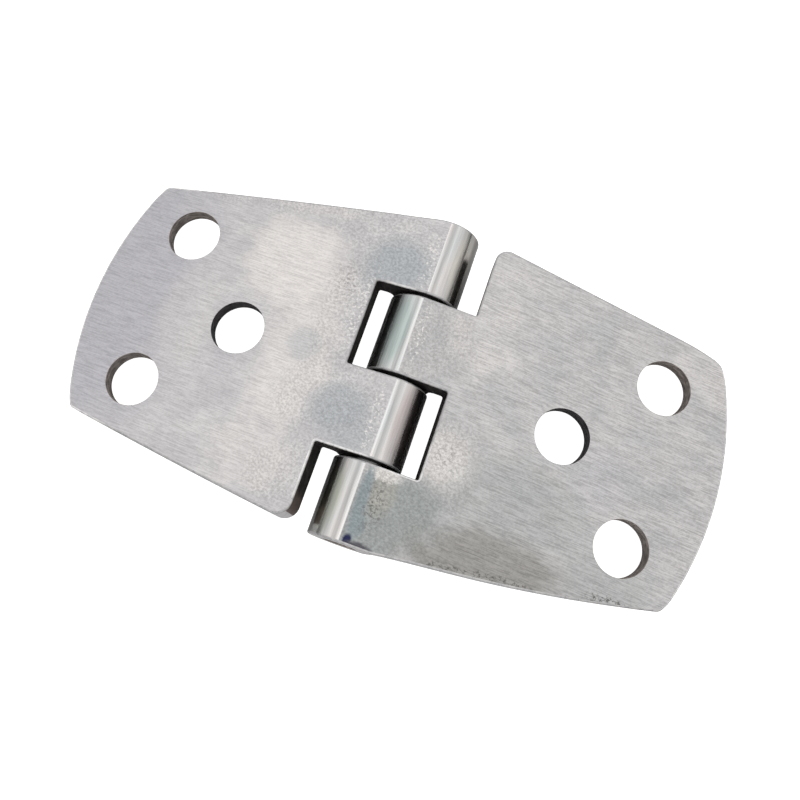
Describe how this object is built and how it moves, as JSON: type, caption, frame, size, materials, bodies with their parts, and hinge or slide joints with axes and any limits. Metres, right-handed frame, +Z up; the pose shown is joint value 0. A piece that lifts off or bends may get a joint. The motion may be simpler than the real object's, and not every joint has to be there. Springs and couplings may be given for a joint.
{
  "type": "strap hinge",
  "caption": "Short heavy strap hinge in ground stainless steel: two tapered leaves with bowed ends and plain screw holes, joined by alternating solid knuckles on a fixed pin.",
  "frame": {"origin": "on the surface that the hinge lies on, under the middle of the pin", "axes": "+X along the hinge from leaf A to leaf B, +Y along the pin, +Z up out of the flush faces"},
  "size_m": [0.1004, 0.0514, 0.0102],
  "materials": {
    "leaf_a_steel": "satin ground flats, polished barrel",
    "leaf_b_steel": "satin ground flats, polished barrel",
    "pin_steel": "smooth drawn bar"
  },
  "bodies": {
    "leaf_a": {"leaf_a": "leaf_a_steel", "hinge_pin": "pin_steel"},
    "leaf_b": {"leaf_b": "leaf_b_steel"}
  },
  "joints": [
    {"name": "leaf_turn", "type": "hinge", "parent": "leaf_a", "child": "leaf_b", "pos_m": [0, 0, 0.0051], "axis": [0, 1, 0], "range_deg": [-121, 165]}
  ]
}
